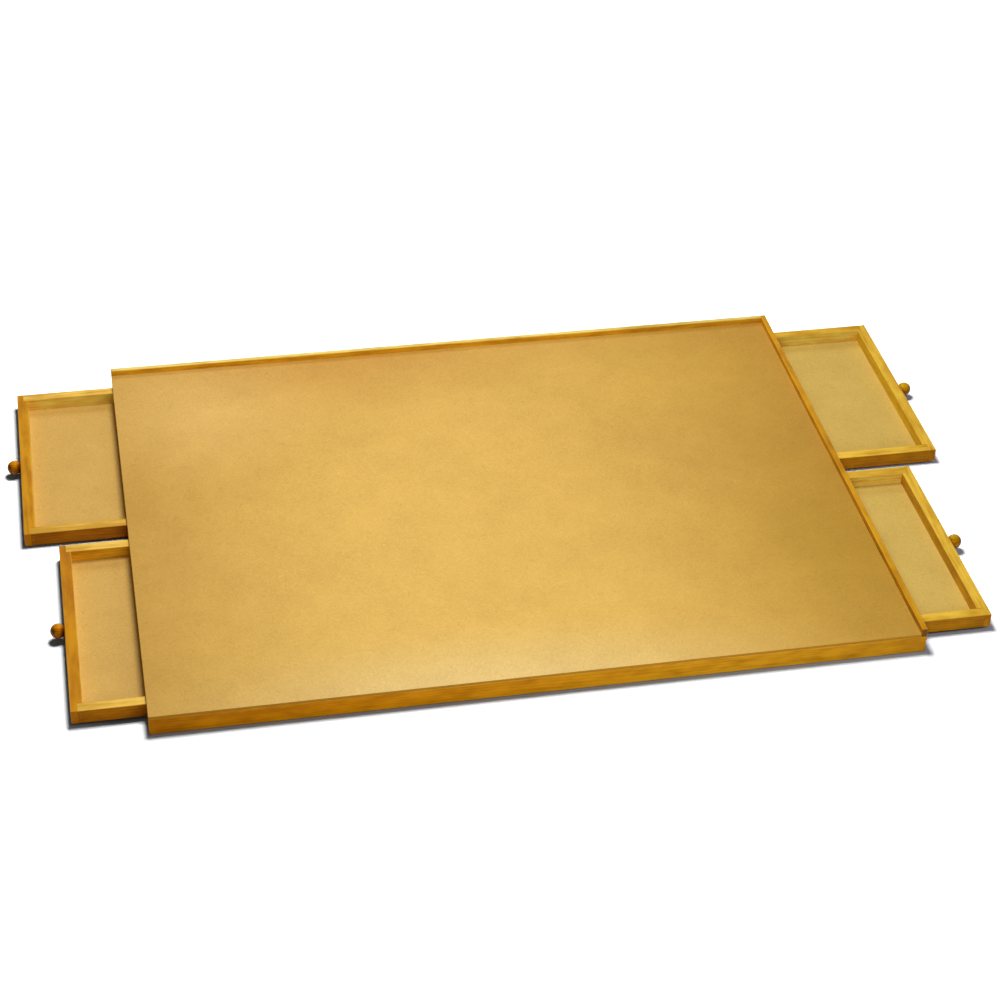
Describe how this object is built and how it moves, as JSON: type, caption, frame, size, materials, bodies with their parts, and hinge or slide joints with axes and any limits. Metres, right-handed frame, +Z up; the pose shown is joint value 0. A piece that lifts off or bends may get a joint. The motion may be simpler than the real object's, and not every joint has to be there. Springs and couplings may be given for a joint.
{
  "type": "puzzle storage case",
  "caption": "Low wooden case with a fibreboard work surface, a raised rim along its back and right edges, and shallow knobbed drawers that slide out of both sides.",
  "frame": {"origin": "middle of the case's flat underside, under the middle of the work surface", "axes": "+X to the right along the long side, +Y to the back, +Z up"},
  "size_m": [1.0443, 0.6, 0.0292],
  "materials": {
    "stained_wood": "honey stain under a thin satin lacquer",
    "turned_wood": "turned ball, stained darker, satin lacquer",
    "fibreboard": "smooth pressed fibreboard, bare",
    "hardboard": "thin brown hardboard, bare",
    "steel": "zinc plated"
  },
  "bodies": {
    "case": {"work_surface": "fibreboard", "front_rail": "stained_wood", "back_rail": "stained_wood", "center_rail": "stained_wood", "front_spine": "stained_wood", "back_spine": "stained_wood", "base_panel": "hardboard", "rim_back": "stained_wood", "rim_right": "stained_wood", "base_screws": "steel"},
    "back_left_drawer": {"back_left_face": "stained_wood", "back_left_outer_side": "stained_wood", "back_left_inner_side": "stained_wood", "back_left_back": "stained_wood", "back_left_floor": "fibreboard", "back_left_knob": "turned_wood", "back_left_corner_brads": "steel", "back_left_floor_brads": "steel"},
    "front_left_drawer": {"front_left_face": "stained_wood", "front_left_outer_side": "stained_wood", "front_left_inner_side": "stained_wood", "front_left_back": "stained_wood", "front_left_floor": "fibreboard", "front_left_knob": "turned_wood", "front_left_corner_brads": "steel", "front_left_floor_brads": "steel"},
    "back_right_drawer": {"back_right_face": "stained_wood", "back_right_outer_side": "stained_wood", "back_right_inner_side": "stained_wood", "back_right_back": "stained_wood", "back_right_floor": "fibreboard", "back_right_knob": "turned_wood", "back_right_corner_brads": "steel", "back_right_floor_brads": "steel"},
    "front_right_drawer": {"front_right_face": "stained_wood", "front_right_outer_side": "stained_wood", "front_right_inner_side": "stained_wood", "front_right_back": "stained_wood", "front_right_floor": "fibreboard", "front_right_knob": "turned_wood", "front_right_corner_brads": "steel", "front_right_floor_brads": "steel"}
  },
  "joints": [
    {"name": "back_left_slide", "type": "slide", "parent": "case", "child": "back_left_drawer", "axis": [-1, 0, 0], "range_m": [-0.1083, 0.1917]},
    {"name": "front_left_slide", "type": "slide", "parent": "case", "child": "front_left_drawer", "axis": [-1, 0, 0], "range_m": [-0.073, 0.227]},
    {"name": "back_right_slide", "type": "slide", "parent": "case", "child": "back_right_drawer", "axis": [1, 0, 0], "range_m": [-0.1196, 0.1804]},
    {"name": "front_right_slide", "type": "slide", "parent": "case", "child": "front_right_drawer", "axis": [1, 0, 0], "range_m": [-0.0787, 0.2213]}
  ]
}
